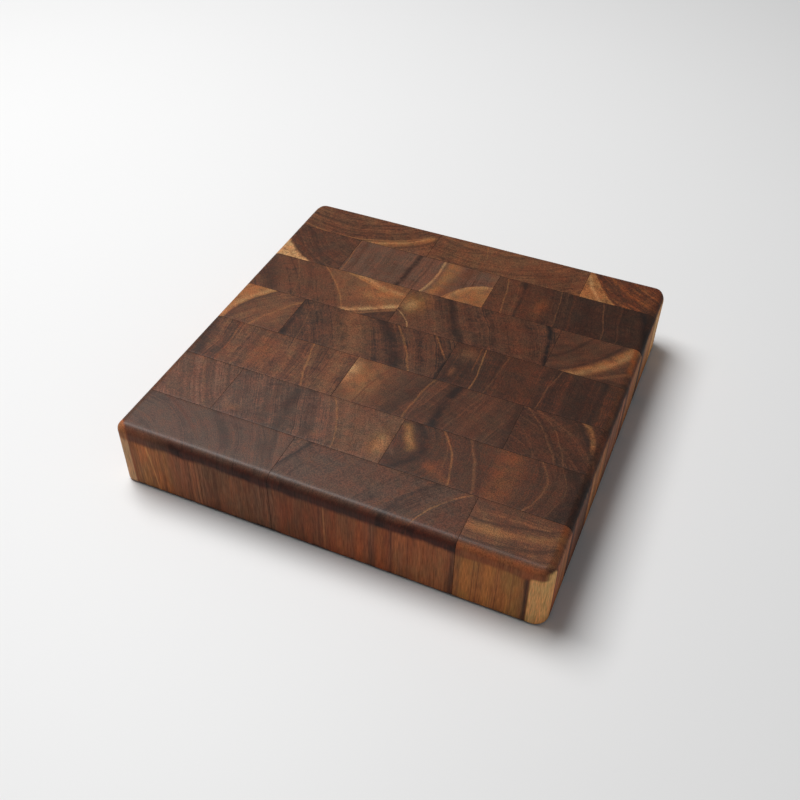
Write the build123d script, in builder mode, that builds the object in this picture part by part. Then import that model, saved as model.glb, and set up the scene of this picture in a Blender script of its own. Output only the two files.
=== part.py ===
"""End-grain cutting board: hardwood blocks glued up in seven rows of three.

The rows run along X and are stacked along Y, front (-Y) to back (+Y). The grain of every
block runs along Z, so the cutting surface is end grain. The origin is the centre of the
underside and +Z points up to the cutting surface. Millimetres.
"""
import os

from build123d import *

# Finished board
WIDTH = 300.0  # along X
DEPTH = 300.0  # along Y
THICKNESS = 52.0  # along Z
CORNER_RADIUS = 10.0  # upright corners
TOP_RADIUS = 7.5  # roundover around the cutting surface
BOTTOM_RADIUS = 2.0  # easing around the underside

# Glue-up
ROW_PITCH = 44.4  # from seam to seam; the two outer rows take what is left of the depth
GLUE_GAP = 0.3  # thickness of every glue film
# Where the two joints of each row stand along X, front row first. The strips were cut
# from one slab and every other strip was turned end for end, so the joints are staggered.
ROW_JOINTS = [
    (-36.0, 90.0),
    (-100.0, 22.5),
    (-32.5, 90.0),
    (-97.5, 25.5),
    (-30.0, 90.0),
    (-92.5, 27.0),
    (-36.0, 90.0),
]
BLOCK_NAMES = ("left", "middle", "right")
GLUE_NAMES = ("left", "right")

ROWS = len(ROW_JOINTS)
SEAMS = [ROW_PITCH * (i - (ROWS - 2) / 2) for i in range(ROWS - 1)]
OVERCUT = 5.0  # how far a cutting box passes the outside of the board


def spans(start, end, joints):
    """Stretches of wood between the ends, with a glue film centred on every joint."""
    edges = [start - OVERCUT]
    for joint in joints:
        edges += [joint - GLUE_GAP / 2, joint + GLUE_GAP / 2]
    edges.append(end + OVERCUT)
    return list(zip(edges[0::2], edges[1::2]))


def films(joints):
    """Stretches filled with glue, one centred on every joint."""
    return [(joint - GLUE_GAP / 2, joint + GLUE_GAP / 2) for joint in joints]


# The whole board after sanding: rounded corners, a generous roundover on top and a small
# easing underneath. Every piece is cut out of this one shape.
with BuildPart() as blank:
    with BuildSketch():
        RectangleRounded(WIDTH, DEPTH, CORNER_RADIUS)
    extrude(amount=THICKNESS)
    fillet(blank.edges().group_by(Axis.Z)[-1], radius=TOP_RADIUS)
    fillet(blank.edges().group_by(Axis.Z)[0], radius=BOTTOM_RADIUS)


def cut_piece(name, x_span, y_span):
    """Write the piece of the board inside one rectangle of the plan, at its full height."""
    length, width = x_span[1] - x_span[0], y_span[1] - y_span[0]
    centre = ((x_span[0] + x_span[1]) / 2, (y_span[0] + y_span[1]) / 2, THICKNESS / 2)
    with BuildPart() as piece:
        add(blank.part)
        with Locations(centre):
            Box(length, width, THICKNESS + 2 * OVERCUT, mode=Mode.INTERSECT)
    piece.part.label = name
    export_step(piece.part, f"parts/{name}.step")


os.makedirs("parts", exist_ok=True)
row_spans = spans(-DEPTH / 2, DEPTH / 2, SEAMS)

# Blocks and the two upright glue films inside each row
for row, (joints, y_span) in enumerate(zip(ROW_JOINTS, row_spans), start=1):
    for side, x_span in zip(BLOCK_NAMES, spans(-WIDTH / 2, WIDTH / 2, joints)):
        cut_piece(f"row{row}_{side}_block", x_span, y_span)
    for side, x_span in zip(GLUE_NAMES, films(joints)):
        cut_piece(f"row{row}_{side}_glue", x_span, y_span)

# Glue films between neighbouring rows, right across the board
full_width = (-WIDTH / 2 - OVERCUT, WIDTH / 2 + OVERCUT)
for row, y_span in enumerate(films(SEAMS), start=1):
    cut_piece(f"seam{row}_glue", full_width, y_span)
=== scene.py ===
"""The looks of an end-grain cutting board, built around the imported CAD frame.

Every block and every glue film is remade as a fine mesh with hand-sanded edges and eased
arrises, in the place its CAD node holds. The wood is one solid texture that runs up through
each block, so the end grain on top and the streaks on the sides belong to the same figure.
Plan positions of the figure are in millimetres from the middle of the board.
"""
import math

import bpy
from mathutils import Matrix, Vector, noise


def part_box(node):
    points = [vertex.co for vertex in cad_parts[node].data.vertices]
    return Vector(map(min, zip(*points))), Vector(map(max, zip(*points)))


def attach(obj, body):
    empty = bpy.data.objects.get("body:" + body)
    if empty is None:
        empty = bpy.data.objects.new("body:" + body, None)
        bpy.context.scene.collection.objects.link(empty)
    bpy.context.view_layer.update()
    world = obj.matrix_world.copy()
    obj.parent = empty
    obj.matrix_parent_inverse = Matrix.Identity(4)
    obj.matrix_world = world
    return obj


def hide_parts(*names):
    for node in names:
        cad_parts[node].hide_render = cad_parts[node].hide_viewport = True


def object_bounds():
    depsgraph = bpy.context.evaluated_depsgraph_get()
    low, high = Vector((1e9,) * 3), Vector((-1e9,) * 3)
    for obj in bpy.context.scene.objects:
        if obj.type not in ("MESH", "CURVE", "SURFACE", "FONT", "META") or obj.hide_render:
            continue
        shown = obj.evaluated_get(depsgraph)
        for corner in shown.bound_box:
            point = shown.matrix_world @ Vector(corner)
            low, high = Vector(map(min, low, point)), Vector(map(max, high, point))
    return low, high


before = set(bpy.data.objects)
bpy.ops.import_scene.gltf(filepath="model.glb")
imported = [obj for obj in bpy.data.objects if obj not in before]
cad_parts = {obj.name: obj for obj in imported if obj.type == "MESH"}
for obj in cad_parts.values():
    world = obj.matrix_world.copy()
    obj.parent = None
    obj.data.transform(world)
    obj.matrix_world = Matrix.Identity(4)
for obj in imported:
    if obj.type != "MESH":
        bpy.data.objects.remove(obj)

cad_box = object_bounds()

MM = 0.001

# The board's far corner, in millimetres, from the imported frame; its middle is at x = y = 0
HALF_X, HALF_Y, TOP = (v / MM for v in cad_box[1])

# Edge shapes that the CAD gives as plain radii; by hand they come out a little uneven
TOP_RADIUS = 6.0
BOTTOM_RADIUS = 2.0
CORNER_RADII = {"front_left": 6.0, "front_right": 9.5, "back_right": 12.0, "back_left": 12.0}

MESH_STEP = 2.0  # spacing of the mesh lines
TOP_ARC_STEPS = 12
BASE_ARC_STEPS = 6
CORNER_ARC_STEPS = 10
CORNER_REACH = 25.0  # how much of a side moves where its corner isn't as round as the top edge
EASE_WIDTH = 0.2  # sanded arris of each block, beside a joint
EASE_DEPTH = 0.015
GLUE_LIMIT = 1.0  # glue films are thinner than this, measured across the joint
GLUE_DEPTH = 0.05  # how far glue stands back from the wood
SANDING_WAVE = 0.12  # how far hand sanding leaves the edges out of true
FLAT_WAVE = 0.03  # and the flats
LONG_WAVE = 38.0  # spacing of that unevenness
SHORT_WAVE = 14.0
GEOMETRY_TOLERANCE = 0.01

BLOCKS = sorted(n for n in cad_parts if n.endswith("_block"))
GLUE = sorted(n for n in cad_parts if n.endswith("_glue"))


def add_object(name, data):
    """A new object in the scene."""
    made = bpy.data.objects.new(name, data)
    bpy.context.scene.collection.objects.link(made)
    return made


# ------------------------ meshes

def node_box(name):
    """Lowest and highest corner of a CAD node in millimetres."""
    low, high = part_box(name)
    return tuple(v / MM for v in low), tuple(v / MM for v in high)


def mesh_lines(half, axis):
    """Mesh lines across the flat top: close to every joint, and evenly between them."""
    stops = {-half, half}
    for name in GLUE:
        low, high = node_box(name)
        if high[axis] - low[axis] < GLUE_LIMIT:
            stops |= {low[axis] - EASE_WIDTH, low[axis], high[axis], high[axis] + EASE_WIDTH}
    stops = sorted(round(s, 4) for s in stops)
    lines = [stops[0]]
    for start, end in zip(stops, stops[1:]):
        if end - start < 1e-3:
            continue
        steps = max(1, round((end - start) / MESH_STEP))
        lines += [start + (end - start) * k / steps for k in range(1, steps + 1)]
    return lines


def edge_profile():
    """(inset, height, outward, upward) rings from the flat top, down the side, to the base."""
    rings = []
    for k in range(TOP_ARC_STEPS + 1):
        a = math.radians(90 * (1 - k / TOP_ARC_STEPS))
        rings.append((TOP_RADIUS * (1 - math.cos(a)), TOP - TOP_RADIUS * (1 - math.sin(a)),
                      math.cos(a), math.sin(a)))
    wall_top, wall_end = TOP - TOP_RADIUS, BOTTOM_RADIUS
    steps = round((wall_top - wall_end) / MESH_STEP)
    for k in range(1, steps):
        rings.append((0.0, wall_top + (wall_end - wall_top) * k / steps, 1.0, 0.0))
    for k in range(BASE_ARC_STEPS + 1):
        a = math.radians(90 * k / BASE_ARC_STEPS)
        rings.append((BOTTOM_RADIUS * (1 - math.cos(a)), BOTTOM_RADIUS * (1 - math.sin(a)),
                      math.cos(a), -math.sin(a)))
    rings.append((TOP_RADIUS, 0.0, 0.0, -1.0))
    return rings


def ring_points(inset, lines_x, lines_y):
    """One ring of the outline, as (x, y, outward x, outward y), inset from the sides."""
    corners = [  # in the order of the ring, each with its centre's sign and its first angle
        ("front_right", 1, -1, -90), ("back_right", 1, 1, 0),
        ("back_left", -1, 1, 90), ("front_left", -1, -1, 180)]
    radius = {name: CORNER_RADII[name] * (1 - inset / TOP_RADIUS) for name, *_ in corners}
    extra = {name: radius[name] - (TOP_RADIUS - inset) for name, *_ in corners}
    sides = [
        (lines_x, "front_left", "front_right", (0, -1)),
        (lines_y, "front_right", "back_right", (1, 0)),
        (lines_x[::-1], "back_right", "back_left", (0, 1)),
        (lines_y[::-1], "back_left", "front_left", (-1, 0))]
    points = []
    for (lines, first, last, (nx, ny)), (name, sx, sy, angle) in zip(sides, corners):
        heading = 1 if lines[-1] > lines[0] else -1
        for s in lines:
            from_first, from_last = abs(s - lines[0]), abs(lines[-1] - s)
            s += heading * extra[first] * max(0.0, 1 - from_first / CORNER_REACH)
            s -= heading * extra[last] * max(0.0, 1 - from_last / CORNER_REACH)
            x = nx * (HALF_X - inset) if nx else s
            y = ny * (HALF_Y - inset) if ny else s
            points.append((x, y, nx, ny))
        r = radius[name]
        cx, cy = sx * (HALF_X - inset - r), sy * (HALF_Y - inset - r)
        for k in range(1, CORNER_ARC_STEPS):
            a = math.radians(angle + 90 * k / CORNER_ARC_STEPS)
            points.append((cx + r * math.cos(a), cy + r * math.sin(a), math.cos(a), math.sin(a)))
    return points


def sanded(point, normal):
    """A point of the surface after hand sanding: a slow wave, least on the flats."""
    v = Vector(point)
    wave = noise.noise(v / LONG_WAVE) + 0.5 * noise.noise(v / SHORT_WAVE + Vector((7.3, 1.9, 4.1)))
    height = FLAT_WAVE + (SANDING_WAVE - FLAT_WAVE) * (1 - normal[2] ** 2)
    if normal[2] < 0:
        height *= 1 + normal[2]
    return v + Vector(normal) * wave * height


def board_surface():
    """Vertices, outward normals and quads of the whole sanded board, closed all round."""
    xs = mesh_lines(HALF_X - TOP_RADIUS, 0)
    ys = mesh_lines(HALF_Y - TOP_RADIUS, 1)
    points, normals, quads = [], [], []

    def add(point, normal):
        points.append(point)
        normals.append(normal)
        return len(points) - 1

    for z, up in ((TOP, 1), (0.0, -1)):
        index = [[add((x, y, z), (0, 0, up)) for x in xs] for y in ys]
        for j in range(len(ys) - 1):
            for i in range(len(xs) - 1):
                quad = (index[j][i], index[j][i + 1], index[j + 1][i + 1], index[j + 1][i])
                quads.append(quad if up > 0 else quad[::-1])
    rings = []
    for inset, z, outward, upward in edge_profile():
        rings.append([add((x, y, z), (nx * outward, ny * outward, upward))
                      for x, y, nx, ny in ring_points(inset, xs, ys)])
    for upper, lower in zip(rings, rings[1:]):
        for k in range(len(upper)):
            after = (k + 1) % len(upper)
            quads.append((lower[k], lower[after], upper[after], upper[k]))
    return points, normals, quads


def faces_of_nodes(points, quads):
    """The quads of the board's surface that belong to each CAD node, by their middles."""
    boxes = {name: node_box(name) for name in BLOCKS + GLUE}
    shares = {name: [] for name in boxes}
    slack = GEOMETRY_TOLERANCE
    for quad in quads:
        x = sum(points[i][0] for i in quad) / 4
        y = sum(points[i][1] for i in quad) / 4
        for name, (low, high) in boxes.items():
            if low[0] - slack < x < high[0] + slack and low[1] - slack < y < high[1] + slack:
                shares[name].append(quad)
                break
    return shares


def on_side(point, axis, value):
    return abs(point[axis] - value) < GEOMETRY_TOLERANCE


def make_piece(name, points, normals, quads):
    """One block or film: its share of the surface, closed by flat faces where it was cut."""
    low, high = node_box(name)
    glue = name in GLUE
    half = (HALF_X, HALF_Y)
    cuts = [(axis, value) for axis in (0, 1) for value in (low[axis], high[axis])
            if abs(value) < half[axis] - GEOMETRY_TOLERANCE]
    local, vertices, sources, faces = {}, [], [], []
    for quad in quads:
        corner_ids = []
        for i in quad:
            key = tuple(round(c, 4) for c in points[i])
            if key not in local:
                local[key] = len(vertices)
                vertices.append(points[i])
                sources.append(i)
            if local[key] not in corner_ids:
                corner_ids.append(local[key])
        if len(corner_ids) > 2:
            faces.append(corner_ids)
    smooth = [True] * len(faces)
    for axis, value in cuts:
        rim = [i for i, p in enumerate(vertices) if on_side(p, axis, value)]
        other = 1 - axis
        mid_across = sum(vertices[i][other] for i in rim) / len(rim)
        rim.sort(key=lambda i: math.atan2(vertices[i][2] - TOP / 2, vertices[i][other] - mid_across))
        outward = 1 if value == high[axis] else -1
        if (outward > 0) == (axis == 1):
            rim.reverse()
        faces.append(rim)
        smooth.append(False)

    placed = []
    for p, i in zip(vertices, sources):
        at_cut = any(on_side(p, axis, value) for axis, value in cuts)
        depth = GLUE_DEPTH if glue else EASE_DEPTH if at_cut else 0.0
        if normals[i][2] < -0.5:
            depth = 0.0
        placed.append((sanded(p, normals[i]) - Vector(normals[i]) * depth) * MM)

    mesh = bpy.data.meshes.new(name + "_look")
    mesh.from_pydata(placed, [], faces)
    mesh.polygons.foreach_set("use_smooth", smooth)
    flat_edges = {key for face in mesh.polygons if not face.use_smooth for key in face.edge_keys}
    for edge in mesh.edges:
        if edge.key in flat_edges:
            edge.use_edge_sharp = True
    mesh.validate()
    return add_object(name + "_look", mesh)


# ------------------------ wood figure

FAR = 1000.0  # a fade this wide takes in the whole board

# About the y of the joint behind each row of blocks, and of the joint in front of it
JOINTS = {
    "row7": (150, 111),
    "row6": (111, 66),
    "row5": (66, 22),
    "row4": (23, -23),
    "row3": (-22, -67),
    "row2": (-66, -111),
    "row1": (-111, -150),
}

RAY_DENSITY = 120.0
SEED_STEP = (17.0, 11.0, 5.0)  # between the places in the noise that two blocks take
WOOD_GAIN = (0.72, 0.65, 0.55)  # oiled wood is darker and warmer than it looks under a soft sheen
SIDE_DARK = (1.50, 1.30, 1.05, 1.0)  # side grain against end grain, in its darker streaks
SIDE_LIGHT = (2.60, 2.30, 1.85, 1.0)  # and in its lighter ones
UPRIGHT_FADE = (0.55, 0.12)  # upward part of the normal, from no side grain to full side grain
FRONT_EDGE_TONE_AND_SHADE = (0.74, 0.42, 0.36, 1.0)  # the dark band along the front's rounded edge: partly the end grain's own darker tone, partly painted shade where that edge faces away from the light
BAND_FADE = (12.2, 7.8)  # depth below the top, from no band to full band
FRONT_FADE = (5.0, 1.0)  # and distance behind the front face
BLOTCH = (0.42, 0.42, 0.46, 1.0)  # and its darkest places, partly tone and partly painted shade in the same way
FOOT_SHADE = (0.12, 0.10, 0.10, 1.0)  # painted shade along the lower edge, standing in for the dark contact shadow under the board
FOOT_SHADE_FADE = (3.4, 1.8)  # height, from unshaded to fully shaded
FIBRE_DARK = (0.55, 0.53, 0.51, 1.0)  # single fibres against the figure
FIBRE_LIGHT = (1.46, 1.43, 1.40, 1.0)
PORE = (0.42, 0.40, 0.40, 1.0)
WARM = (1.14, 0.93, 0.90, 1.0)  # slow drift of the hue
COOL = (0.92, 0.99, 1.04, 1.0)
SHEEN = 0.3  # specular level of the oiled wood

# Apparent colours of the oiled wood, as 8-bit display values
TONES = {
    "black": (38, 28, 26),
    "dark": (54, 37, 30),
    "walnut": (72, 48, 37),
    "brown": (88, 60, 46),
    "russet": (100, 60, 41),
    "umber": (106, 71, 52),
    "taupe": (95, 71, 60),
    "mauve": (106, 80, 68),
    "pink": (126, 88, 70),
    "honey": (134, 94, 66),
    "orange": (142, 86, 50),
    "olive": (132, 98, 60),
    "gold": (164, 116, 74),
    "pale": (206, 164, 118),
    "sapwood": (204, 190, 172),
}


def linear(tone, side=False):
    """A named wood colour as scene-linear RGBA, on end grain or on side grain."""
    out = []
    for value, gain, lift in zip(TONES[tone], WOOD_GAIN, SIDE_LIGHT):
        c = value / 255
        c = gain * (c / 12.92 if c <= 0.04045 else ((c + 0.055) / 1.055) ** 2.4)
        out.append(min(c * lift, 1.0) if side else c)
    return (*out, 1.0)


def line(start, end, bulge, tone, width, strength, reach=6.0, lean=0.0, on="wood"):
    """A growth line from start to end, bulging to its left.

    A lone x stands for a place on the joint behind the block at the start, or on the joint in
    front of it at the end. width is the fade on both sides, or the fades to the left and right.
    reach is how far the line runs on past its ends, and lean how far it slips to its left for
    each millimetre down. on says where it shows: all through the wood, on the side grain alone,
    on the front's rounded edge alone ("band"), wherever the surface stands upright, or over all.
    """
    left, right = width if isinstance(width, tuple) else (width, width)
    return dict(start=start, end=end, bulge=bulge, tone=tone, left=left, right=right,
                strength=strength, reach=reach, lean=lean, on=on)


def zone(start, end, bulge, tone, soft, strength, on="wood"):
    """Everything to the left of a line from start to end."""
    return line(start, end, bulge, tone, (FAR, soft), strength, FAR, on=on)


def spot(middle, radius, tone, strength, stretch=(1.0, 1.0)):
    """A soft round patch."""
    return dict(middle=middle, radius=radius, tone=tone, strength=strength, stretch=stretch, on="wood")


def streaks(places, tone, width, strength, lean=0.0):
    """Streaks that show on the upright part of an outer face, where they come out at (x, y)."""
    out = []
    for x, y in places:
        if abs(y) > abs(x):
            inward = Vector((0, -math.copysign(1, y)))
        else:
            inward = Vector((-math.copysign(1, x), 0))
        place = Vector((x, y))
        out.append(line(place - 3.0 * inward, place + 2.5 * inward, 0.0, tone, width, strength,
                        reach=3.0, lean=lean, on="side"))
    return out


def on_front(*xs):
    return [(x, -HALF_Y) for x in xs]


def on_right(*ys):
    return [(HALF_X, y) for y in ys]


def on_left(*ys):
    return [(-HALF_X, y) for y in ys]


def on_back(*xs):
    return [(x, HALF_Y) for x in xs]


FIGURE = {}


def block(name, base, light, dark, pith, ring, contrast, marks):
    """The figure of one block: three tones of wood, rings around a pith, and marks over them."""
    FIGURE[name + "_block"] = dict(base=base, light=light, dark=dark, pith=pith, ring=ring,
                                   contrast=contrast, marks=marks)


block("row7_left", "umber", "honey", "walnut", pith=(-115, 222), ring=5, contrast=1.05, marks=[
    line((-150, 126), (-42, 150), -16, "walnut", 3, 0.7),
    line((-150, 134), (-60, 152), -12, "walnut", 2, 0.55),
    line((-150, 141), (-80, 152), -8, "honey", 2, 0.35),
    line((-150, 118), (-44, 136), -14.5, "gold", 1.4, 0.5),
    line((-92, 110), (-40, 136), -3.5, "gold", (2.5, 9), 0.8),
    line((-84, 112), (-44, 134), -3.5, "pale", 1.6, 0.29),
    line((-68, 110), (-36, 133), -2, "walnut", 2.5, 0.5),
    spot((-45, 113), 9, "pink", 0.5, (1.6, 1)),
    *streaks(on_back(-135, -104, -61), "honey", 3, 0.4),
    *streaks(on_left(141, 128, 117), "walnut", 2.4, 0.4),
])
block("row7_middle", "umber", "honey", "walnut", pith=(0, 232), ring=4.5, contrast=1.05, marks=[
    spot((25, 130), 80, "honey", 0.3),
    spot((62, 124), 24, "russet", 0.5, (1.4, 0.8)),
    line((-36, 117), (60, 152), -9, "honey", 1.4, 0.29),
    line((-30, 128), (34, 152), -6, "walnut", 1.5, 0.35),
    line((-36, 111), (86, 138), -9, "walnut", 2, 0.3),
    line((4, 150), (10, 131), 0, "gold", 0.8, 0.43),
    line((8, 150), (12, 135), 0, "honey", 0.6, 0.29),
    line((29, 140), (44, 112), 0, "honey", 1.2, 0.25),
    spot((87, 113), 6, "gold", 0.5),
    *streaks(on_back(-22, 8, 71), "honey", 3, 0.35),
    *streaks(on_back(-5, 48, 82), "walnut", 2.2, 0.4),
])
block("row7_right", "russet", "orange", "walnut", pith=(186, 226), ring=3.2, contrast=0.9, marks=[
    line((108, 152), (132, 111), -3, "walnut", 1.4, 0.5),
    line((119, 152), (141, 114), -4, "walnut", 1.4, 0.45),
    line((130, 152), (148, 124), -3, "honey", 1, 0.29),
    zone((119, 110), (91, 152), 3, "gold", 1.6, 0.9),
    line((107, 111), (92, 138), 1.5, "pale", 2.4, 0.45),
    line((95, 152), (123, 110), -3, "walnut", 1.3, 0.5),
    zone((150, 128), (140, 111), 0, "walnut", 6, 0.5),
    # pale streaks near the back right corner: light side grain, brightened further as a painted
    # reflection of the bright floor seen at a grazing angle
    *streaks(on_right(143, 131, 119), "pale", 12, 0.6),
    *streaks(on_right(138, 124), "pale", 5, 0.5),
    *streaks(on_right(132, 115), "brown", 1, 0.5),
])
block("row6_left", "brown", "umber", "walnut", pith=(-60, 160), ring=3.2, contrast=1.15, marks=[
    line((-150, 97), (-116, 66), 2, "russet", 3, 0.6),
    line((-141, 111), (-108, 68), 3, "dark", 2.4, 0.4),
    line((-131, 111), (-98, 71), 2, "russet", 1.4, 0.45),
    line((-118, 111), (-96, 82), 1, "umber", 1, 0.4),
    zone((-122, 66), (-151, 91), 1.5, "pale", 3.5, 0.95),
    line((-150, 84), (-130, 66), 0, "gold", 2, 0.4),
    *streaks(on_left(104, 97), "walnut", 2.6, 0.5),
])
block("row6_middle", "mauve", "pink", "brown", pith=(-420, 95), ring=3.6, contrast=0.8, marks=[
    line(-92, -91, 0, "gold", 0.9, 0.43),
    line(-86, -84, 0, "brown", 2, 0.4),
    line(-60, -62, 0, "brown", 9, 0.35),
    line(-40, -43, 1, "dark", (3.5, 4.5), 0.85),
    line(-33, -36, 1, "pink", 0.9, 0.32),
    line(-28, -31, 1, "walnut", 1.4, 0.4),
    line(-12, -16, 2.5, "gold", (13, 7), 0.7),
    line(-19, -23, 2.5, "pale", (2.4, 1.4), 0.5),
    line(9, -7, -3, "umber", (7, 7), 0.6),
    zone((27, 95), (-6, 65), -6, "gold", 1.8, 0.75),
    line((25, 94), (-3, 67), -6, "pale", (5, 1), 0.3),
    spot((20, 70), 12, "orange", 0.45),
    line((22, 111), (27, 98), 0, "honey", 6, 0.4),
])
block("row6_right", "walnut", "brown", "dark", pith=(-330, 40), ring=3.2, contrast=1.1, marks=[
    line(50, 52, 0, "russet", 30, 0.65),
    spot((68, 84), 13, "orange", 0.4, (0.8, 1.5)),
    zone((50, 66), (46, 111), 0, "umber", 3, 0.5),
    zone((87, 111), (91, 66), 1, "dark", 4, 0.5),
    spot((49, 108), 9, "black", 0.6, (0.8, 1)),
    line(34, 41, 2, "gold", 0.8, 0.43),
    line(43, 48, 2, "honey", 0.7, 0.29),
    line(49, 52, 1, "dark", 2.4, 0.65),
    line(77, 82, 1, "honey", 0.9, 0.36),
    line(88, 92, 1, "russet", 2, 0.35),
    line(96, 100, 1, "dark", 5, 0.5),
    line(110, 117, 2, "honey", 0.8, 0.36),
    line(124, 128, 1, "umber", 0.8, 0.35),
    line(140, 149, 2, "black", 5, 0.85),
    *streaks(on_right(106, 95, 84), "olive", 12, 0.8),
    *streaks(on_right(102, 91), "gold", 4, 0.4),
    *streaks(on_right(88, 74), "brown", 2, 0.6),
])
block("row5_left", "umber", "umber", "walnut", pith=(-420, -170), ring=4, contrast=0.9, marks=[
    line(-150, -128, 1, "walnut", 10, 0.65),
    line(-127, -110, 2, "honey", 0.9, 0.43),
    line(-119, -100, 3, "walnut", 4, 0.4),
    zone((-100, 68), (-66, 20), 2, "honey", 5, 0.6),
    line(-103, -68, 3, "gold", 1.1, 0.54),
    spot((-45, 50), 24, "gold", 0.95, (1.2, 0.9)),
    spot((-44, 58), 15, "orange", 0.75, (1.6, 0.7)),
    line((-84, 67), (-34, 53), -1.5, "gold", (9, 1.5), 0.9),
    line((-76, 67), (-34, 57), -1.5, "pale", (5, 2), 0.35),
    line((-70, 30), (-32, 50), 0, "umber", 7, 0.45),
    line((-66, 22), (-29, 43), -1.5, "pale", (5.5, 1.4), 0.65),
    line((-58, 22), (-29, 38), -1, "gold", 1, 0.36),
    zone((-29, 37), (-55, 21), 0, "walnut", 1, 0.85),
    *streaks(on_left(60, 44, 29), "walnut", 2.8, 0.4),
    *streaks(on_left(52, 36), "honey", 4, 0.35),
])
block("row5_middle", "brown", "umber", "dark", pith=(-300, -120), ring=3.6, contrast=1, marks=[
    zone((10, 22), (-16, 67), 0, "umber", 8, 0.7),
    spot((-21, 51), 18, "olive", 0.95, (1, 1.2)),
    spot((-23, 48), 9, "pale", 0.35),
    line((-31, 40), (-15, 22), 2, "pale", 1, 0.43),
    line((-22, 66), (-2, 36), 1, "brown", 1.4, 0.4),
    line(-14, 8, 1.5, "honey", 0.9, 0.36),
    line(45, 72, 0, "russet", 22, 0.5),
    line(3, 26, 0, "dark", (5, 6.5), 0.85),
    spot((22, 34), 9, "dark", 0.45),
    line(80, 90, 1, "black", (3, 4), 0.9),
])
block("row5_right", "brown", "umber", "walnut", pith=(60, 130), ring=4.2, contrast=0.9, marks=[
    line((90, 33), (116, 68), -3, "dark", 2.5, 0.55),
    line((90, 24), (128, 68), -5, "umber", 3, 0.4),
    line((96, 21), (138, 68), -5, "dark", 2, 0.5),
    line((104, 20), (145, 68), -4, "gold", (4.5, 11), 0.7),
    line((108, 20), (147, 64), -4, "pale", 4, 0.22),
    line((122, 22), (151, 42), -2, "honey", 3, 0.45),
    line((146, 69), (147, 42), 0, "orange", 4, 0.85),
    line((118, 21), (152, 25), 0, "dark", 3, 0.55),
    *streaks(on_right(62, 50, 38), "olive", 12, 0.7),
    *streaks(on_right(56, 36), "pink", 5, 0.5),
    *streaks(on_right(32, 26), "brown", 1.6, 0.6),
])
block("row4_left", "umber", "honey", "brown", pith=(-60, -60), ring=4.2, contrast=1, marks=[
    zone((-144, -24), (-121, 24), 5, "gold", 1.6, 1),
    line((-145, -24), (-123, 24), 5, "pale", (5, 1.5), 0.35),
    line((-142, -24), (-118, 24), 5, "brown", 1.8, 0.6),
    line((-152, 0), (-138, 24), 2, "umber", 1.4, 0.4),
    line((-97, 17), (-122, -23), -3, "gold", (1.2, 2.5), 0.55),
    line((-101, 20), (-127, -20), -3, "brown", 2, 0.5),
    spot((-114, -2), 24, "honey", 0.5),
    *streaks(on_left(16, -6), "umber", 4, 0.35),
])
block("row4_middle", "brown", "umber", "dark", pith=(-330, -150), ring=3.6, contrast=1.05, marks=[
    line(-58, -42, 2, "honey", 22, 0.6),
    line(-97, -95, 0, "dark", (4, 3), 0.85),
    spot((-94, -19), 7, "black", 0.55),
    line(-90, -83, 0, "honey", 0.6, 0.36),
    line(-86, -79, 0, "pink", 0.6, 0.36),
    line(-82, -75, 0, "dark", 1.4, 0.4),
    line(-62, -52, 1, "honey", 0.8, 0.29),
    line(-46, -24, 2, "honey", 1, 0.29),
    line(-33, -5, 3, "dark", (7, 9), 0.9),
    line(-20, 6, 1, "gold", 1.3, 0.5),
    line(-17, 9, 1, "pink", 0.6, 0.36),
    line((3, 18), (20, -23), 1, "umber", 5, 0.5),
    line((8, 23), (24, 0), -1, "gold", 1.2, 0.45),
    line((24.5, 4), (25, -23), 0, "black", 2.5, 0.85),
])
block("row4_right", "walnut", "russet", "dark", pith=(-360, 0), ring=5, contrast=0.75, marks=[
    spot((36, 12), 13, "honey", 0.5, (1.2, 1)),
    line((27, 2), (30, -23), 0, "dark", 3, 0.6),
    spot((32, -9), 4, "honey", 0.6, (1, 2)),
    line((40, 6), (39, -23), 1, "dark", 2.5, 0.5),
    line((44, 23), (45, -2), 0.5, "orange", 1, 0.36),
    line(47, 50, 1.5, "gold", 1, 0.54),
    line(66, 60, 1, "honey", 1, 0.29),
    line(80, 78, 0, "russet", 22, 0.45),
    line(104, 97, 0, "honey", 0.9, 0.36),
    line(128, 124, 0, "dark", 11, 0.65),
    line(136, 134, 0, "black", 3, 0.55),
    line(147, 147, 0, "umber", 3, 0.5),
    *streaks(on_right(16, 0, -16), "pink", 13, 0.6),
    *streaks(on_right(16, 2), "gold", 4, 0.3),
    *streaks(on_right(12, -18), "brown", 1.2, 0.6),
])
block("row3_left", "umber", "honey", "walnut", pith=(-460, -44), ring=3.8, contrast=0.85, marks=[
    line(-148, -141, 0, "dark", 10, 0.7),
    spot((-140, -60), 8, "dark", 0.5),
    line(-131, -128, 0, "brown", 2, 0.5),
    line(-127, -124, 0, "orange", 1.4, 0.36),
    line(-114, -109, -1, "pink", 1, 0.43),
    spot((-98, -45), 17, "orange", 0.6, (0.9, 1.4)),
    line(-82, -77, 1, "honey", 1.2, 0.4),
    line(-78, -71, 1, "brown", 3, 0.5),
    line(-67, -56, -2, "gold", 1.2, 0.65),
    line(-64, -52, -2, "honey", 1.4, 0.36),
    line(-47, -42, 0, "honey", 9, 0.45),
    *streaks(on_left(-30, -50), "honey", 4.5, 0.4),
    *streaks(on_left(-42, -62), "walnut", 2.4, 0.4),
])
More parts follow.
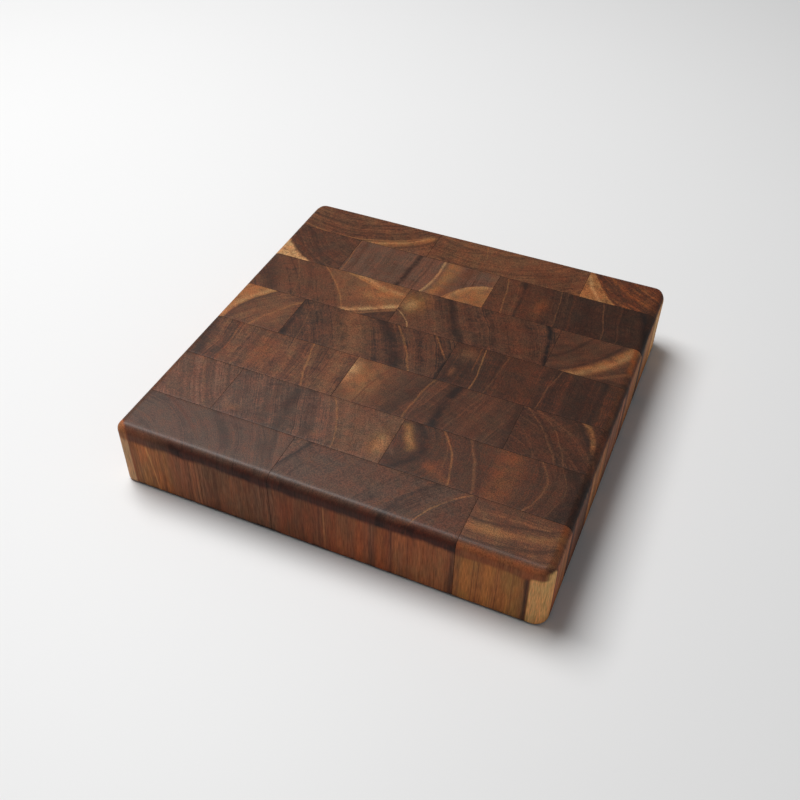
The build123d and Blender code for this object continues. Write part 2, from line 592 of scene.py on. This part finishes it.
block("row3_middle", "brown", "umber", "walnut", pith=(-280, 60), ring=3.6, contrast=1, marks=[
    line(-12, -18, 0, "honey", 26, 0.5),
    spot((-22, -42), 27, "gold", 0.6, (0.8, 1.2)),
    spot((-34, -36), 15, "pale", 0.8, (0.8, 1.4)),
    line(-5, -17, -2, "russet", 1.2, 0.65),
    line(0, -11, -3, "honey", 0.8, 0.36),
    line(16, 8, -1, "brown", 3, 0.4),
    line(25, 20, -1, "gold", 1.2, 0.4),
    line(28, 23, -1, "pink", 0.8, 0.4),
    line(43, 41, -1, "black", (6.5, 8), 0.8),
    line(63, 61, 0, "pink", 0.7, 0.29),
    line(68, 66, 0, "russet", 10, 0.3),
    line(87, 88, 0, "dark", 6, 0.6),
])
block("row3_right", "walnut", "umber", "dark", pith=(60, -130), ring=3.2, contrast=0.75, marks=[
    spot((115, -44), 45, "russet", 0.45),
    line((92, -22), (122, -62), 3, "honey", 1, 0.4),
    line((96, -22), (126, -66), 3, "dark", 1.4, 0.5),
    line((101, -22), (129, -64), 4, "honey", 0.8, 0.32),
    line((92, -40), (110, -67), 2, "umber", 1.2, 0.5),
    line((128, -20), (144, -44), 3, "gold", (2.5, 3.5), 0.55),
    line(124, 148, 5, "dark", 2.2, 0.65),
    line(149, 149, 0, "russet", 3, 0.7),
    *streaks(on_right(-32, -46, -60), "olive", 13, 0.7),
    *streaks(on_right(-38, -60), "gold", 6, 0.3),
    *streaks(on_right(-33, -48), "russet", 2, 0.6),
])
block("row2_left", "umber", "pink", "brown", pith=(-20, -30), ring=3, contrast=1.3, marks=[
    line(-149, -120, 0, "pink", 1.6, 0.43),
    line(-142, -112, 0, "russet", 1.4, 0.5),
    line(-134, -104, 0, "honey", 1.6, 0.4),
    line((-126, -66), (-102, -102), 0, "brown", 1.6, 0.5),
    line((-118, -66), (-100, -92), 0, "pink", 1.2, 0.36),
    line((-150, -86), (-132, -111), 0, "honey", 1.2, 0.29),
    line(-102, -102, 0, "brown", 3, 0.5),
    *streaks(on_left(-76, -98), "honey", 4, 0.4),
    *streaks(on_left(-86), "walnut", 2.6, 0.4),
])
block("row2_middle", "taupe", "pink", "walnut", pith=(-330, -200), ring=3.6, contrast=1.05, marks=[
    zone((-27, -66), (-9, -111), 3, "honey", 12, 0.4),
    line(-98, -98, 0, "brown", 2, 0.5),
    spot((-88, -103), 9, "honey", 0.6, (1, 0.7)),
    spot((-84, -76), 9, "pink", 0.4),
    line(-67, -66, 0, "brown", 7, 0.6),
    line(-55, -51, 0, "dark", (7, 8), 0.65),
    line(-38, -34, 2, "brown", 2, 0.4),
    spot((-26, -103), 6, "honey", 0.4),
    line(-29, -11, 3, "gold", 0.9, 0.54),
    line((-10, -66), (20, -84), 1, "russet", 4, 0.4),
    spot((15, -94), 14, "olive", 0.8, (0.8, 1.3)),
    spot((17, -94), 10, "pale", 0.35, (0.7, 1.3)),
])
block("row2_right", "brown", "russet", "walnut", pith=(12, -88), ring=4, contrast=0.95, marks=[
    line(96, 98, 2, "orange", 14, 0.5),
    spot((58, -100), 10, "orange", 0.3, (0.8, 1.2)),
    line((32, -66), (28, -112), 14, "dark", (5, 8), 0.85),
    spot((31, -104), 12, "dark", 0.5, (1.2, 0.8)),
    line((27, -73), (35, -88), 0, "olive", 5.5, 1),
    line((28, -76), (33, -84), 0, "pale", 3, 0.2, reach=5),
    line((23, -92), (27, -98), 0, "pink", 2.5, 0.4, reach=4),
    line((52, -100), (70, -111), 0, "orange", 6, 0.4),
    line(48, 69, 4, "gold", 1.2, 0.58),
    line((53, -74), (61, -102), 2, "honey", 0.7, 0.36),
    line(68, 86, 2, "honey", 1.6, 0.54),
    line(71, 89, 2, "walnut", 2.5, 0.5),
    line(111, 113, 8, "walnut", 2.6, 0.5),
    line(115, 118, 8, "honey", 1.4, 0.54),
    line(119, 122, 8, "walnut", 2, 0.5),
    line(130, 131, 7, "honey", 0.9, 0.4),
    zone((134, -66), (134, -111), 6, "dark", 6, 0.4),
    line(136, 136, 6, "umber", 0.9, 0.35),
    line(138, 138, 6, "dark", 10, 0.7),
    line((149, -70), (148, -111), 0, "black", 6, 0.7),
    *streaks(on_right(-92), "umber", 16, 0.5),
    *streaks(on_right(-72, -84, -104), "russet", 3, 0.6),
    *streaks(on_right(-78, -100), "honey", 3, 0.4),
])
block("row1_left", "taupe", "umber", "walnut", pith=(-152, -176), ring=4.5, contrast=0.9, marks=[
    line((-134, -111), (-94, -137), 2, "russet", 2.4, 0.55),
    line((-120, -111), (-86, -136), 2, "brown", 3, 0.5),
    line((-94, -111), (-74, -136), 1, "walnut", 6.5, 0.8),
    line((-66, -111), (-52, -140), 0, "pink", 2, 0.3),
    spot((-50, -127), 9, "walnut", 0.7),
    line((-56, -111), (-44, -140), 0, "brown", 5, 0.4),
    line((-47, -110), (-38, -138), 0, "pink", (9, 1.2), 0.45),
    line((-50, -110), (-40, -140), 0, "walnut", (1, 3.5), 0.6),
    *streaks(on_front(-132, -118), "gold", 13, 0.45),
    *streaks(on_front(-104, -90), "pink", 12, 0.5),
    *streaks(on_front(-72, -56), "umber", 13, 0.45),
    *streaks(on_front(-128), "pale", 1.2, 0.3, lean=-0.12),
    line((-152, -149), (-130, -149), 0, "taupe", 7, 0.45, reach=30, on="band"),
    *streaks(on_front(-95, -90, -87, -84), "walnut", 0.7, 0.7),
    *streaks(on_front(-93, -88.5), "honey", 0.5, 0.6),
    *streaks(on_front(-75), "walnut", 3, 0.7),
    *streaks(on_front(-117, -104, -67, -53), "brown", 2.4, 0.5),
    line((-137.6, -152), (-152, -138.6), 0, "russet", 1.6, 0.7, on="all"),
    zone((-138.5, -152), (-152, -139.5), 0, "honey", 1.2, 0.6, on="all"),
    zone((-138.5, -152), (-152, -139.5), 0, "sapwood", 1.2, 0.3, on="side"),
    *streaks(on_left(-120), "honey", 4, 0.4),
])
block("row1_middle", "taupe", "umber", "walnut", pith=(160, -215), ring=3.6, contrast=0.95, marks=[
    line((40, -111), (0, -150), -3, "umber", 16, 0.45),
    line((20, -110), (-4, -150), -2, "brown", 3, 0.4),
    line((-27, -110), (-37, -137), 0, "pink", (1.2, 9), 0.45),
    line((-24, -110), (-35, -137), 0, "dark", (4.5, 1), 0.75),
    line((66, -110), (40, -150), -4, "dark", 3.4, 0.65),
    zone((92, -111), (60, -150), -4, "russet", 1.5, 0.55),
    line((88, -111), (58, -150), -4, "gold", 1, 0.58),
    *streaks(on_front(-24, -8, 8, 24, 42, 60, 78), "russet", 14, 0.75),
    *streaks(on_front(14, 26, 42), "orange", 8, 0.3),
    *streaks(on_front(56, 69, 81), "honey", 10, 0.55),
    *streaks(on_front(4), "honey", 0.7, 0.6),
    *streaks(on_front(52), "honey", 0.8, 0.6),
    *streaks(on_front(1, 34.5, 48.5), "dark", 1, 0.6),
    *streaks(on_front(-23, -12, 37, 60), "walnut", 1.4, 0.5),
    *streaks(on_front(88.8), "dark", 1.6, 0.75),
])
block("row1_right", "umber", "honey", "brown", pith=(112, 60), ring=3, contrast=0.9, marks=[
    spot((104, -133), 13, "gold", 0.7, (1.4, 0.6)),
    line((88, -127), (152, -114), -4, "walnut", (1.2, 2.4), 0.65),
    line((88, -133), (152, -120), -4, "gold", (3, 5), 0.5),
    line((88, -143), (152, -128), -5, "walnut", (1.5, 3), 0.65),
    line((88, -149), (152, -140), -5, "honey", 2, 0.5),
    line((148, -110), (149, -140), 0, "orange", 5, 0.6),
    *streaks(on_front(98, 112, 126), "olive", 13, 0.9),
    *streaks(on_front(102.5, 106, 118), "walnut", 0.6, 0.7),
    *streaks(on_front(93, 127), "brown", 1.6, 0.4),
    line((152, -139.5), (130, -152.5), 0, "dark", 1.2, 0.8, on="upright"),
    line((91, -149), (150, -149), 0, "umber", 7, 0.7, on="band"),
    line((91, -150), (146, -150), 0, "orange", 5, 0.15, on="band"),
    zone((152, -141.5), (133, -152.5), 0, "pale", 1, 1.2, on="side"),
    zone((152, -141.5), (133, -152.5), 0, "mauve", 1, 0.35, on="side"),
    *streaks(on_right(-116, -130), "honey", 12, 0.7),
    *streaks(on_right(-122, -134), "russet", 3, 0.5),
])


# ------------------------ shader graphs

class Graph:
    """A node tree that is written as expressions: every input is a socket or a constant."""

    def __init__(self, tree):
        self.tree = tree

    def outputs(self, kind, inputs, **settings):
        """All the outputs of a new shader node."""
        made = self.tree.nodes.new("ShaderNode" + kind)
        for key, value in settings.items():
            setattr(made, key, value)
        for key, value in inputs.items():
            if isinstance(value, bpy.types.NodeSocket):
                self.tree.links.new(value, made.inputs[key])
            else:
                made.inputs[key].default_value = value
        return made.outputs

    def node(self, kind, inputs=None, output=0, **settings):
        return self.outputs(kind, inputs or {}, **settings)[output]

    def surface(self, shader, kind="OutputMaterial"):
        self.outputs(kind, {"Surface": shader})

    def place(self):
        """The place in the board, in millimetres."""
        return self.scaled(self.node("TexCoord", output="Object"), 1 / MM)

    def part(self, vector, axis):
        return self.node("SeparateXYZ", {0: vector}, output=axis)

    def math(self, operation, a, b=0.0, c=0.0):
        return self.node("Math", {0: a, 1: b, 2: c}, operation=operation)

    def product(self, result, *factors):
        for factor in factors:
            result = self.math("MULTIPLY", result, factor)
        return result

    def centred(self, value):
        """A noise value moved from about 0.5 to about 0."""
        return self.math("SUBTRACT", value, 0.5)

    def vector(self, operation, a, b=(0.0, 0.0, 0.0), c=(0.0, 0.0, 0.0), output=0):
        return self.node("VectorMath", {0: a, 1: b, 2: c}, output, operation=operation)

    def scaled(self, a, factor):
        return self.node("VectorMath", {0: a, "Scale": factor}, operation="SCALE")

    def fade(self, value, start, end, low=0.0, high=1.0):
        """Smoothly from low to high as value goes from start to end."""
        return self.node("MapRange", {0: value, 1: start, 2: end, 3: low, 4: high},
                         interpolation_type="SMOOTHSTEP")

    def mix(self, factor, a, b, blend="MIX"):
        return self.node("Mix", {0: factor, 6: a, 7: b}, output=2, data_type="RGBA",
                         blend_type=blend, clamp_factor=True)

    def tint(self, factor, color, by):
        """A colour multiplied by another, as far as factor says."""
        return self.mix(factor, color, by, "MULTIPLY")

    def noise(self, position, size, detail=2.0, roughness=0.5, output=0):
        """Noise with features about size across, from a position in millimetres."""
        return self.node("TexNoise", {"Vector": position, "Scale": 1 / size, "Detail": detail,
                                      "Roughness": roughness}, output)

    def noise_1d(self, value, size, detail=1.0):
        return self.node("TexNoise", {"W": self.math("DIVIDE", value, size), "Scale": 1.0,
                                      "Detail": detail}, noise_dimensions="1D")


KINDS = {"vector": "NodeSocketVector", "float": "NodeSocketFloat", "color": "NodeSocketColor"}


def new_group(name, inputs, outputs):
    """An empty node group with named sockets, as (group, graph, input sockets, output node)."""
    group = bpy.data.node_groups.new(name, "ShaderNodeTree")
    for direction, sockets in (("INPUT", inputs), ("OUTPUT", outputs)):
        for label, kind in sockets.items():
            group.interface.new_socket(name=label, in_out=direction, socket_type=KINDS[kind])
    entry = group.nodes.new("NodeGroupInput")
    return group, Graph(group), entry.outputs, group.nodes.new("NodeGroupOutput")


def close_group(group, exit_node, results):
    for label, socket in results.items():
        group.links.new(socket, exit_node.inputs[label])
    return group


def end_grain_group():
    """Solid wood whose rings circle a pith in plan and run up through the block."""
    group, g, given, out = new_group(
        "End grain",
        {"Pith": "vector", "Ring": "float", "Contrast": "float", "Seed": "vector",
         "Dark": "color", "Base": "color", "Light": "color"},
        {"Color": "color", "Plan": "vector", "Breakup": "float", "Rings": "float"})
    place = g.place()
    plan = g.vector("MULTIPLY_ADD", place, (1.0, 1.0, -1.0), (0.0, 0.0, TOP))
    for size, sway, along in ((36.0, 6.0, 0.16), (8.0, 1.5, 0.10), (2.2, 0.45, 0.05)):
        wood = g.vector("ADD", g.vector("MULTIPLY", place, (1.0, 1.0, along)), given["Seed"])
        wander = g.vector("SUBTRACT", g.noise(wood, size, 1.0, output=1), (0.5, 0.5, 0.5))
        plan = g.vector("ADD", plan, g.vector("MULTIPLY", wander, (sway, sway, 0.0)))
    from_pith = g.vector("MULTIPLY", g.vector("SUBTRACT", plan, given["Pith"]), (1.0, 1.0, 0.0))
    radius = g.vector("LENGTH", from_pith, output=1)
    ring = g.math("DIVIDE", radius, given["Ring"])
    broad = g.noise_1d(ring, 2.6, 1.0)
    rings = g.noise_1d(ring, 0.75, 1.0)
    fine = g.noise_1d(radius, 0.85, 1.0)
    wood = g.vector("ADD", g.vector("MULTIPLY", place, (1.0, 1.0, 0.08)), given["Seed"])
    mottle = g.noise(wood, 11.0, 3.0)
    speck = g.noise(wood, 2.6, 3.0, 0.65)
    breakup = g.fade(g.noise(wood, 7.0, 3.0, 0.6), 0.28, 0.56, 0.45, 1.15)
    patchy = g.fade(g.noise(wood, 15.0, 3.0, 0.6), 0.36, 0.64, 0.35, 1.35)
    spokes = g.vector("MULTIPLY", g.vector("NORMALIZE", from_pith), (RAY_DENSITY,) * 3)
    rays = g.noise(g.vector("MULTIPLY_ADD", from_pith, (0.06, 0.06, 0.0), spokes), 1.0, 1.0)
    value = 0.0
    for layer, weight in ((rings, 0.9), (fine, 1.3), (rays, 0.8)):
        value = g.math("MULTIPLY_ADD", g.centred(layer), weight, value)
    value = g.math("MULTIPLY", value, patchy)
    for layer, weight in ((broad, 1.0), (mottle, 1.2), (speck, 1.2)):
        value = g.math("MULTIPLY_ADD", g.centred(layer), weight, value)
    value = g.math("MULTIPLY", value, given["Contrast"])
    color = g.mix(g.fade(value, -0.05, 0.6), given["Base"], given["Light"])
    color = g.mix(g.fade(value, 0.05, -0.6), color, given["Dark"])
    return close_group(group, out, {"Color": color, "Plan": plan, "Breakup": breakup, "Rings": value})


def growth_line_group():
    """One curved line or edge of the figure, laid over a colour."""
    group, g, given, out = new_group(
        "Growth line",
        {"Under": "color", "Plan": "vector", "Breakup": "float", "Tone": "color", "Start": "vector",
         "Along": "vector", "Across": "vector", "Length": "float", "Bulge": "float", "Left": "float",
         "Right": "float", "Reach": "float", "Strength": "float", "Limit": "float"},
        {"Color": "color"})
    offset = g.vector("SUBTRACT", given["Plan"], given["Start"])
    along = g.vector("DOT_PRODUCT", offset, given["Along"], output=1)
    across = g.vector("DOT_PRODUCT", offset, given["Across"], output=1)
    share = g.math("DIVIDE", along, given["Length"])
    crown = g.product(share, g.math("SUBTRACT", 1.0, share), given["Bulge"], 4.0)
    side = g.math("SUBTRACT", across, crown)
    past = g.math("ADD", given["Length"], given["Reach"])
    mask = g.product(
        g.fade(side, g.math("MULTIPLY", given["Right"], -1.0), 0.0), g.fade(side, given["Left"], 0.0),
        g.fade(along, g.math("MULTIPLY", given["Reach"], -1.0), 0.0),
        g.fade(along, past, given["Length"]), given["Limit"], given["Strength"], given["Breakup"])
    return close_group(group, out, {"Color": g.mix(mask, given["Under"], given["Tone"])})


def patch_group():
    """One soft patch of the figure, laid over a colour."""
    group, g, given, out = new_group(
        "Patch",
        {"Under": "color", "Plan": "vector", "Breakup": "float", "Tone": "color", "Middle": "vector",
         "Stretch": "vector", "Radius": "float", "Strength": "float"},
        {"Color": "color"})
    offset = g.vector("MULTIPLY", g.vector("SUBTRACT", given["Plan"], given["Middle"]), (1.0, 1.0, 0.0))
    distance = g.vector("LENGTH", g.vector("DIVIDE", offset, given["Stretch"]), output=1)
    mask = g.product(g.fade(distance, given["Radius"], 0.0), given["Strength"], given["Breakup"])
    return close_group(group, out, {"Color": g.mix(mask, given["Under"], given["Tone"])})


def side_grain_group():
    """Side grain on the upright faces, in upright streaks; a dark band runs above it in front, partly
    the end grain's own tone and partly painted shade, and painted shade darkens the lower edge.
    """
    group, g, given, out = new_group(
        "Side grain", {"Color": "color", "Seed": "vector"},
        {"Color": "color", "Upright": "float", "Side": "float", "Band": "float", "Matt": "float"})
    place = g.place()
    seeded = g.vector("ADD", place, given["Seed"])
    tilt = g.math("ABSOLUTE", g.part(g.node("NewGeometry", output="Normal"), 2))
    upright = g.fade(tilt, *UPRIGHT_FADE)
    front = g.fade(g.math("ADD", g.part(place, 1), HALF_Y), *FRONT_FADE)
    height = g.part(place, 2)
    ragged = g.math("MULTIPLY", g.centred(g.noise(seeded, 16.0, 3.0, 0.5)), 5.0)
    depth = g.math("ADD", g.math("SUBTRACT", TOP, height), ragged)
    above = g.product(front, g.fade(depth, *BAND_FADE))
    side = g.product(upright, g.math("SUBTRACT", 1.0, above))
    paleness = g.vector("DOT_PRODUCT", given["Color"], (0.3, 0.5, 0.2), output=1)
    gain = g.product(side, g.fade(paleness, 0.06, 0.30, 1.0, 0.4))
    sway = g.vector("SUBTRACT", g.noise(seeded, 22.0, 2.0, output=1), (0.5, 0.5, 0.5))
    wavy = g.vector("MULTIPLY_ADD", sway, (6.0, 6.0, 0.0), seeded)
    streak = g.noise(g.vector("MULTIPLY", wavy, (1.0, 1.0, 0.035)), 1.9, 4.0, 0.65)
    patch = g.noise(g.vector("MULTIPLY", seeded, (1.0, 1.0, 0.4)), 14.0, 2.0)
    streak = g.math("MULTIPLY_ADD", g.centred(patch), 0.35, streak)
    color = g.tint(gain, given["Color"], g.mix(g.fade(streak, 0.35, 0.64), SIDE_DARK, SIDE_LIGHT))
    # the front's rounded edge is darkened: partly its own darker end grain, partly painted shade,
    # because this edge faces away from the light
    band = g.product(above, g.fade(depth, -0.5, 3.5))
    color = g.tint(band, color, FRONT_EDGE_TONE_AND_SHADE)
    blotch = g.product(band, g.fade(g.noise(seeded, 13.0, 3.0, 0.6), 0.48, 0.66))
    color = g.tint(blotch, color, BLOTCH)
    # painted shade: the lower edge is darkened almost to black in place of a contact shadow
    color = g.tint(g.fade(height, *FOOT_SHADE_FADE), color, FOOT_SHADE)
    matt = g.math("MAXIMUM", g.math("MAXIMUM", upright, above), g.fade(tilt, 0.999, 0.80, 0.0, 0.8))
    return close_group(group, out, {"Color": color, "Upright": upright, "Side": side,
                                    "Band": above, "Matt": matt})


def oiled_finish_group():
    """Pores, fibre and oil over the figure."""
    group, g, given, out = new_group(
        "Oiled finish",
        {"Color": "color", "Rings": "float", "Matt": "float", "Seed": "vector"},
        {"Color": "color", "Roughness": "float", "Height": "float"})
    place = g.vector("ADD", g.place(), given["Seed"])
    cells = g.vector("MULTIPLY", place, (1.0, 1.0, 0.025))
    pore = g.node("TexVoronoi", {"Vector": cells, "Scale": 0.62}, feature="F1")
    crowd = g.fade(g.noise(cells, 9.0, 2.0), 0.35, 0.6)
    pore = g.product(g.fade(pore, 0.26, 0.12), g.math("MULTIPLY_ADD", crowd, 0.7, 0.3))
    fibre = g.noise(g.vector("MULTIPLY", place, (1.0, 1.0, 0.08)), 0.7, 2.0, 0.6)
    calm = g.math("MULTIPLY_ADD", given["Matt"], -0.6, 1.0)
    fibre = g.math("MULTIPLY_ADD", g.centred(fibre), calm, 0.5)
    color = g.tint(1.0, given["Color"], g.mix(g.fade(fibre, 0.33, 0.67), FIBRE_DARK, FIBRE_LIGHT))
    color = g.tint(g.math("MULTIPLY", pore, 0.5), color, PORE)
    hue = g.noise(g.vector("MULTIPLY", place, (1.0, 1.0, 0.3)), 12.0, 4.0, 0.7)
    color = g.tint(1.0, color, g.mix(g.fade(hue, 0.35, 0.65), WARM, COOL))
    roughness = g.math("MULTIPLY_ADD", g.noise(place, 22.0, 3.0, 0.6), 0.14, 0.35)
    roughness = g.math("MULTIPLY_ADD", pore, 0.15, roughness)
    roughness = g.math("MULTIPLY_ADD", given["Matt"], 0.3, roughness)
    height = g.math("MULTIPLY_ADD", pore, -1.0, g.math("MULTIPLY", fibre, 0.6))
    height = g.math("MULTIPLY_ADD", given["Rings"], 0.35, height)
    return close_group(group, out, {"Color": color, "Roughness": roughness, "Height": height})


def new_material(name):
    """An empty material, with its graph."""
    material = bpy.data.materials.new(name)
    material.use_nodes = True
    material.node_tree.nodes.clear()
    return material, Graph(material.node_tree)


def flat(point):
    return (point[0], point[1], 0.0)


def on_joint(point, y):
    """An end of a mark in plan, where a lone x is a place on the joint at y."""
    return Vector((point, y)) if isinstance(point, (int, float)) else Vector(point)


def wood_material(name, figure, groups, seed):
    """The wood of one block: rings, then its marks in order, then pores and oil."""
    material, g = new_material(name)
    back, front = JOINTS[name.split("_")[0]]

    def group(kind, inputs):
        return g.outputs("Group", inputs, node_tree=groups[kind])

    def lay(color, marks, limits):
        for mark in marks:
            shared = {"Under": color, "Plan": grain["Plan"], "Breakup": grain["Breakup"],
                      "Tone": linear(mark["tone"], mark["on"] != "wood"), "Strength": mark["strength"]}
            if "middle" in mark:
                color = group("patch", {
                    **shared, "Middle": flat(mark["middle"]), "Radius": mark["radius"],
                    "Stretch": (*mark["stretch"], 1.0)})["Color"]
                continue
            start = on_joint(mark["start"], back)
            run = on_joint(mark["end"], front) - start
            heading = run.normalized()
            color = group("line", {
                **shared, "Start": flat(start), "Along": flat(heading),
                "Across": (-heading.y, heading.x, -mark["lean"]), "Length": run.length,
                "Bulge": mark["bulge"], "Left": mark["left"], "Right": mark["right"],
                "Reach": mark["reach"], "Limit": limits[mark["on"]]})["Color"]
        return color

    offset = tuple(step * seed for step in SEED_STEP)
    grain = group("grain", {
        "Pith": flat(figure["pith"]), "Ring": figure["ring"], "Contrast": figure["contrast"],
        "Seed": offset, "Dark": linear(figure["dark"]),
        "Base": linear(figure["base"]), "Light": linear(figure["light"])})
    whole = [mark for mark in figure["marks"] if mark["on"] == "wood"]
    outer = [mark for mark in figure["marks"] if mark["on"] != "wood"]
    color = lay(grain["Color"], whole, {"wood": 1.0})
    side = group("side", {"Color": color, "Seed": offset})
    limits = {"side": side["Side"], "upright": side["Upright"], "band": side["Band"], "all": 1.0}
    color = lay(side["Color"], outer, limits)
    finish = group("finish", {"Color": color, "Rings": grain["Rings"], "Matt": side["Matt"],
                              "Seed": offset})
    bump = g.node("Bump", {"Height": finish["Height"], "Strength": 0.35, "Distance": 0.08 * MM})
    g.surface(g.node("BsdfPrincipled", {
        "Base Color": finish["Color"], "Roughness": finish["Roughness"], "Normal": bump,
        "IOR": 1.45, "Specular IOR Level": SHEEN}))
    return material


def glue_material():
    """The thin dark line of glue and oil in the joints."""
    material, g = new_material("glue_line")
    patchy = g.noise(g.place(), 9.0, 3.0, 0.6)
    color = g.mix(g.fade(patchy, 0.35, 0.65), linear("black"), linear("dark"))
    bump = g.node("Bump", {"Height": g.noise(g.place(), 0.8, 2.0), "Strength": 0.3,
                           "Distance": 0.05 * MM})
    g.surface(g.node("BsdfPrincipled", {
        "Base Color": color, "Roughness": g.math("MULTIPLY_ADD", patchy, 0.2, 0.65),
        "Normal": bump, "Specular IOR Level": 0.1}))
    return material


# ------------------------ board

def build_board():
    """Every piece, in place of the CAD node it stands for."""
    groups = {"grain": end_grain_group(), "line": growth_line_group(), "patch": patch_group(),
              "side": side_grain_group(), "finish": oiled_finish_group()}
    glue = glue_material()
    points, normals, quads = board_surface()
    shares = faces_of_nodes(points, quads)
    for seed, name in enumerate(BLOCKS + GLUE):
        piece = make_piece(name, points, normals, shares[name])
        material = glue if name in GLUE else wood_material(name, FIGURE[name], groups, seed)
        piece.data.materials.append(material)
        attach(piece, "root")
        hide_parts(name)


# ------------------------ studio

# The camera's place is in millimetres; the window and the floor are in metres
CAMERA_PLACE = (198.0, -495.3, 501.3)
CAMERA_HEADING = -0.3972  # from +Y, to the left where it is negative, in radians
CAMERA_DIP = 0.7509
CAMERA_ROLL = 0.0183
CAMERA_LENS = 44.0
WINDOW_PLACE = (-0.85, 0.25, 1.87)
WINDOW_SIZE = (1.1, 1.25)
WINDOW_POWER = 45.0
LIT_PLACE = (0.0, 0.0, 0.03)
ROOM_COLOR = (0.97, 0.98, 1.0, 1.0)
ROOM_LIGHT = 0.145
ROOM_SLOPE = 0.073  # how much brighter the room is towards its bright side
BRIGHT_SIDE = (0.958, -0.287, 0.0)
FLOOR_HALF = 6.0
FLOOR_DARK = (0.80, 0.80, 0.80, 1.0)
FLOOR_LIGHT = (0.84, 0.84, 0.835, 1.0)


def soft_light(name, place, size, power):
    """A rectangular light turned towards the board."""
    data = bpy.data.lights.new(name, "AREA")
    data.shape = "RECTANGLE"
    data.size, data.size_y = size
    data.energy = power
    light = add_object(name, data)
    light.location = place
    light.rotation_euler = (Vector(LIT_PLACE) - light.location).to_track_quat("-Z", "Y").to_euler()
    return light


def build_camera():
    """The camera that sees the board from above its front right."""
    data = bpy.data.cameras.new("camera")
    data.lens = CAMERA_LENS
    data.sensor_width = 36.0
    camera = add_object("camera", data)
    forward = Vector((math.sin(CAMERA_HEADING) * math.cos(CAMERA_DIP),
                      math.cos(CAMERA_HEADING) * math.cos(CAMERA_DIP), -math.sin(CAMERA_DIP)))
    right = forward.cross(Vector((0, 0, 1))).normalized()
    up = right.cross(forward)
    turned_right = right * math.cos(CAMERA_ROLL) + up * math.sin(CAMERA_ROLL)
    turned_up = up * math.cos(CAMERA_ROLL) - right * math.sin(CAMERA_ROLL)
    turn = Matrix((turned_right, turned_up, -forward)).transposed().to_4x4()
    camera.matrix_world = Matrix.Translation(Vector(CAMERA_PLACE) * MM) @ turn
    bpy.context.scene.camera = camera


def build_floor():
    """A plain pale floor, a little uneven in tone."""
    mesh = bpy.data.meshes.new("floor")
    corners = [(x * FLOOR_HALF, y * FLOOR_HALF, 0) for x, y in ((-1, -1), (1, -1), (1, 1), (-1, 1))]
    mesh.from_pydata(corners, [], [(0, 1, 2, 3)])
    floor = add_object("floor", mesh)
    material, g = new_material("floor")
    place = g.node("TexCoord", output="Object")
    color = g.mix(g.noise(place, 0.7, 2.0), FLOOR_DARK, FLOOR_LIGHT)
    g.surface(g.node("BsdfPrincipled", {"Base Color": color, "Roughness": 0.55}))
    mesh.materials.append(material)


def build_light():
    """A large soft light, high on the left, in a dim room that is brighter at the right."""
    world = bpy.data.worlds.new("room")
    world.use_nodes = True
    world.node_tree.nodes.clear()
    g = Graph(world.node_tree)
    direction = g.node("TexCoord", output="Generated")
    toward = g.vector("DOT_PRODUCT", direction, BRIGHT_SIDE, output=1)
    strength = g.math("MULTIPLY_ADD", toward, ROOM_SLOPE, ROOM_LIGHT)
    background = g.node("Background", {"Color": ROOM_COLOR, "Strength": strength})
    g.surface(background, "OutputWorld")
    bpy.context.scene.world = world
    soft_light("window", WINDOW_PLACE, WINDOW_SIZE, WINDOW_POWER)
    bpy.context.scene.view_settings.view_transform = "Standard"


build_board()
build_camera()
build_floor()
build_light()
